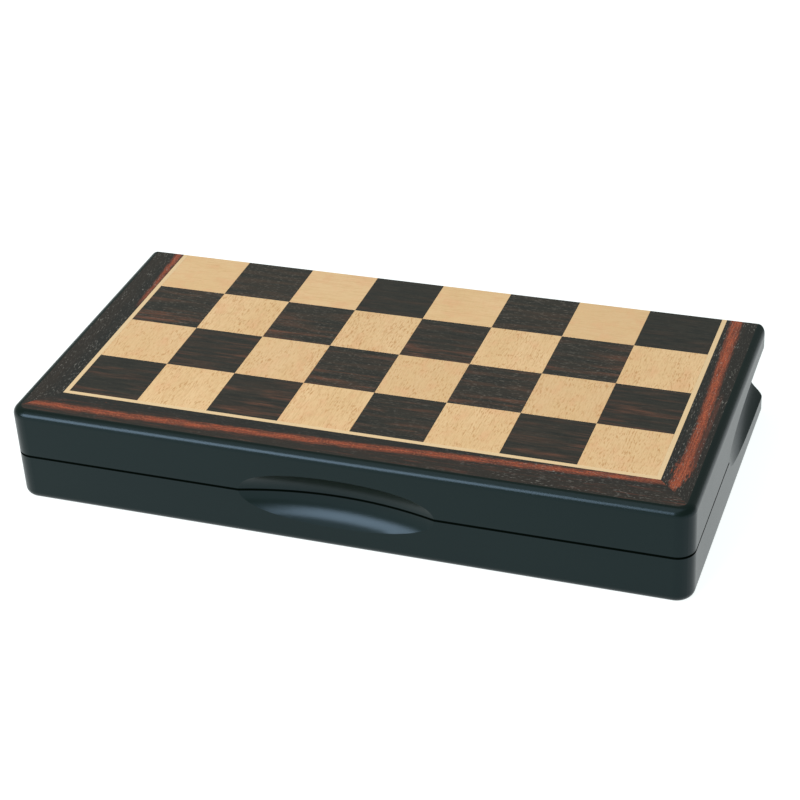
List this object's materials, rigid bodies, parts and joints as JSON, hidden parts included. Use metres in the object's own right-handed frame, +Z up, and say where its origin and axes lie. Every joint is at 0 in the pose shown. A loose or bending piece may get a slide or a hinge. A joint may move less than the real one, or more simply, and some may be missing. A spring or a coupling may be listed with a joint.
{
  "type": "folding chess set",
  "caption": "Folding chess case with a veneered playing surface outside, finger scoops, a hinged back and fitted trays that hold the chess pieces.",
  "frame": {"origin": "centre of the case's footprint on its rest face, hinge knuckles not counted", "axes": "+X along the case's length to its right side, -Y to the front with the finger scoop, +Y to the hinge edge, +Z up"},
  "size_m": [0.276, 0.1403, 0.0414],
  "materials": {
    "lacquer": "black satin lacquer on rails of close-grained wood",
    "plywood": "raw birch plywood",
    "light_veneer": "satin pale veneer with short brown flecks",
    "dark_veneer": "satin dark veneer with reddish streaks",
    "string_veneer": "satin pale veneer line",
    "border_veneer": "satin near-black veneer with rust-red streaks and pale pores",
    "flocking": "dark green flocked foam",
    "felt": "green felt",
    "hinge_brass": "brushed brass",
    "pin_steel": "drawn steel",
    "magnet_nickel": "nickel-plated magnet",
    "light_piece_wood": "turned boxwood, satin",
    "dark_piece_wood": "turned rosewood, satin"
  },
  "bodies": {
    "lower_half": {"lower_front_rail": "lacquer", "lower_right_rail": "lacquer", "lower_back_rail": "lacquer", "lower_left_rail": "lacquer", "lower_panel": "plywood", "lower_light_squares": "light_veneer", "lower_dark_squares": "dark_veneer", "lower_stringing": "string_veneer", "lower_border_veneer": "border_veneer", "lower_left_hinge_leaf": "hinge_brass", "lower_right_hinge_leaf": "hinge_brass", "lower_hinge_screws": "hinge_brass", "lower_magnets": "magnet_nickel", "lower_tray": "flocking", "light_rook_1": "light_piece_wood", "light_knight_1": "light_piece_wood", "light_bishop_1": "light_piece_wood", "light_queen": "light_piece_wood", "light_king": "light_piece_wood", "light_bishop_2": "light_piece_wood", "light_knight_2": "light_piece_wood", "light_rook_2": "light_piece_wood", "light_pawns": "light_piece_wood", "light_base_felts": "felt", "left_hinge_pin": "pin_steel", "right_hinge_pin": "pin_steel"},
    "upper_half": {"upper_front_rail": "lacquer", "upper_right_rail": "lacquer", "upper_back_rail": "lacquer", "upper_left_rail": "lacquer", "upper_panel": "plywood", "upper_light_squares": "light_veneer", "upper_dark_squares": "dark_veneer", "upper_stringing": "string_veneer", "upper_border_veneer": "border_veneer", "upper_left_hinge_leaf": "hinge_brass", "upper_right_hinge_leaf": "hinge_brass", "upper_hinge_screws": "hinge_brass", "upper_magnets": "magnet_nickel", "upper_tray": "flocking", "dark_rook_1": "dark_piece_wood", "dark_knight_1": "dark_piece_wood", "dark_bishop_1": "dark_piece_wood", "dark_queen": "dark_piece_wood", "dark_king": "dark_piece_wood", "dark_bishop_2": "dark_piece_wood", "dark_knight_2": "dark_piece_wood", "dark_rook_2": "dark_piece_wood", "dark_pawns": "dark_piece_wood", "dark_base_felts": "felt"}
  },
  "joints": [
    {"name": "lid_fold", "type": "hinge", "parent": "lower_half", "child": "upper_half", "pos_m": [0, 0.0691, 0.0207], "axis": [-1, 0, 0], "range_deg": [0, 180]}
  ]
}
